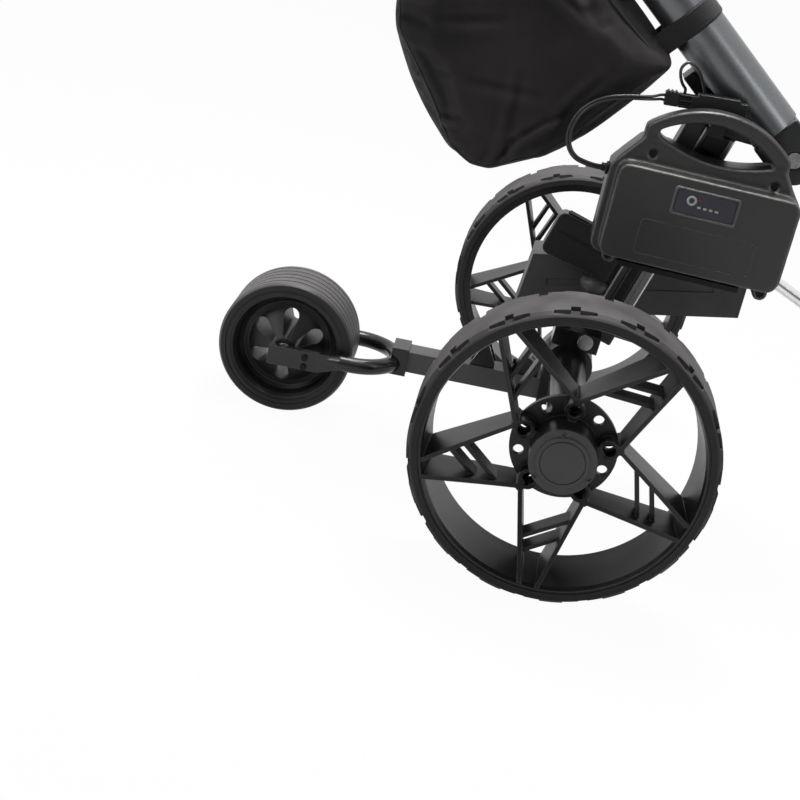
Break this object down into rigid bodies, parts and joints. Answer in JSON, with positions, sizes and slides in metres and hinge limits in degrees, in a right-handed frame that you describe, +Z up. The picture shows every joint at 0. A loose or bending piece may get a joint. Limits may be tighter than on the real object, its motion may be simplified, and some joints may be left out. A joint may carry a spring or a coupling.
{
  "type": "electric golf trolley",
  "caption": "Electric golf trolley on three wheels with a folding handle, clip-on battery, controller box, bag cradles and an anti-tip wheel.",
  "frame": {"origin": "on the floor under the middle of the rear axle", "axes": "+X to the rear, +Y to the right-hand side, +Z up; the front wheel is at -X"},
  "size_m": [0.8089, 0.65, 0.777],
  "materials": {
    "tyre_rubber": "ribbed, matt",
    "wheel_plastic": "satin moulded",
    "frame_black": "gloss powder coat",
    "frame_grey": "satin anodised look",
    "mast_alloy": "brushed, dark grooves",
    "cast_alloy": "satin casting",
    "bright_steel": "bright",
    "chrome_rod": "polished",
    "case_plastic": "fine texture",
    "black_plastic": "satin",
    "cell_wrap": "shrink sleeve",
    "board": "solder mask",
    "panel": "smooth",
    "lamp_white": "smooth",
    "button_red": "smooth",
    "cord_black": "smooth",
    "grip_rubber": "ribbed",
    "bag_fabric": "coated weave",
    "copper": "windings"
  },
  "bodies": {
    "chassis": {"axle_tube": "frame_black", "axle_block": "frame_black", "mast_pin": "bright_steel", "drive_units": "bright_steel", "boom": "frame_grey", "boom_collar": "frame_black", "fork": "frame_black", "fork_screws": "bright_steel", "front_axle": "bright_steel", "brace_bracket": "frame_black"},
    "mast": {"mast": "mast_alloy", "mast_foot": "cast_alloy", "mast_head": "cast_alloy", "hinge_bolt": "bright_steel", "cradle_bracket": "black_plastic", "lower_cradle": "black_plastic", "cradle_pad": "cord_black", "controller_front": "case_plastic", "controller_back": "case_plastic", "control_board": "board", "battery_tray": "black_plastic", "battery_socket": "black_plastic", "socket_cable": "cord_black", "anti_tip_socket": "cast_alloy", "anti_tip_rod": "chrome_rod"},
    "brace": {"brace": "mast_alloy"},
    "anti_tip_wheel": {"anti_tip_wheel": "tyre_rubber"},
    "battery": {"battery_front": "case_plastic", "battery_rear": "case_plastic", "battery_cells": "cell_wrap", "battery_panel": "panel", "battery_screws": "bright_steel", "lead_boot": "cord_black", "battery_lead": "cord_black", "battery_plug": "black_plastic"},
    "power_button": {"power_button": "lamp_white"},
    "post": {"post_knuckle": "cast_alloy", "post_tube": "frame_grey", "cable_cover": "black_plastic", "upper_cradle": "black_plastic", "storage_bag": "bag_fabric", "console": "black_plastic", "console_display": "panel", "handle_bar": "cast_alloy", "grips": "grip_rubber"},
    "fold_lever": {"fold_lever": "black_plastic"},
    "speed_dial": {"speed_dial": "case_plastic"},
    "console_button": {"console_button": "button_red"},
    "left_wheel": {"left_tyre": "tyre_rubber", "left_rim": "wheel_plastic", "left_cap": "wheel_plastic", "left_shaft": "bright_steel"},
    "left_rotor": {"left_rotor": "copper"},
    "right_wheel": {"right_tyre": "tyre_rubber", "right_rim": "wheel_plastic", "right_cap": "wheel_plastic", "right_shaft": "bright_steel"},
    "right_rotor": {"right_rotor": "copper"},
    "front_wheel": {"front_tyre": "tyre_rubber", "front_rim": "wheel_plastic"}
  },
  "joints": [
    {"name": "mast_fold", "type": "hinge", "parent": "chassis", "child": "mast", "pos_m": [0.01, 0, 0.184], "axis": [0, -1, 0], "range_deg": [0, 40]},
    {"name": "brace_fold", "type": "hinge", "parent": "chassis", "child": "brace", "pos_m": [-0.042, 0, 0.12501], "axis": [0, -1, 0], "range_deg": [0, 120]},
    {"name": "anti_tip_spin", "type": "hinge", "parent": "mast", "child": "anti_tip_wheel", "pos_m": [0.39443, 0, 0.06224], "axis": [0, 1, 0], "continuous": true},
    {"name": "battery_slide", "type": "slide", "parent": "mast", "child": "battery", "axis": [0, -1, 0], "range_m": [0, 0.11]},
    {"name": "power_press", "type": "slide", "parent": "battery", "child": "power_button", "axis": [0, 1, 0], "range_m": [0, 0.0012], "stiffness_N_per_m": 600, "springref_m": -0.0008},
    {"name": "handle_fold", "type": "hinge", "parent": "mast", "child": "post", "pos_m": [0.163, 0, 0.433], "axis": [0, 1, 0], "range_deg": [0, 80]},
    {"name": "lever_turn", "type": "hinge", "parent": "post", "child": "fold_lever", "pos_m": [0.163, 0.03, 0.433], "axis": [0, 1, 0], "range_deg": [0, 60]},
    {"name": "dial_turn", "type": "hinge", "parent": "post", "child": "speed_dial", "pos_m": [-0.21504, 0.031, 0.74757], "axis": [0.5948, 0, 0.8039], "range_deg": [-140, 140]},
    {"name": "button_press", "type": "slide", "parent": "post", "child": "console_button", "axis": [-0.5948, 0, -0.8039], "range_m": [0, 0.0015], "stiffness_N_per_m": 500, "springref_m": -0.001},
    {"name": "left_wheel_spin", "type": "hinge", "parent": "chassis", "child": "left_wheel", "pos_m": [0, -0.288, 0.15], "axis": [0, 1, 0], "continuous": true},
    {"name": "left_rotor_spin", "type": "hinge", "parent": "chassis", "child": "left_rotor", "pos_m": [0, -0.09, 0.15], "axis": [0, 1, 0], "continuous": true},
    {"name": "right_wheel_spin", "type": "hinge", "parent": "chassis", "child": "right_wheel", "pos_m": [0, 0.288, 0.15], "axis": [0, 1, 0], "continuous": true},
    {"name": "right_rotor_spin", "type": "hinge", "parent": "chassis", "child": "right_rotor", "pos_m": [0, 0.09, 0.15], "axis": [0, 1, 0], "continuous": true},
    {"name": "front_wheel_spin", "type": "hinge", "parent": "chassis", "child": "front_wheel", "pos_m": [-0.311, 0, 0.0765], "axis": [0, 1, 0], "continuous": true}
  ],
  "couplings": [
    {"joint": "brace_fold", "follows": "mast_fold", "ratio": 3},
    {"joint": "left_rotor_spin", "follows": "left_wheel_spin", "ratio": 16},
    {"joint": "right_rotor_spin", "follows": "right_wheel_spin", "ratio": 16}
  ]
}
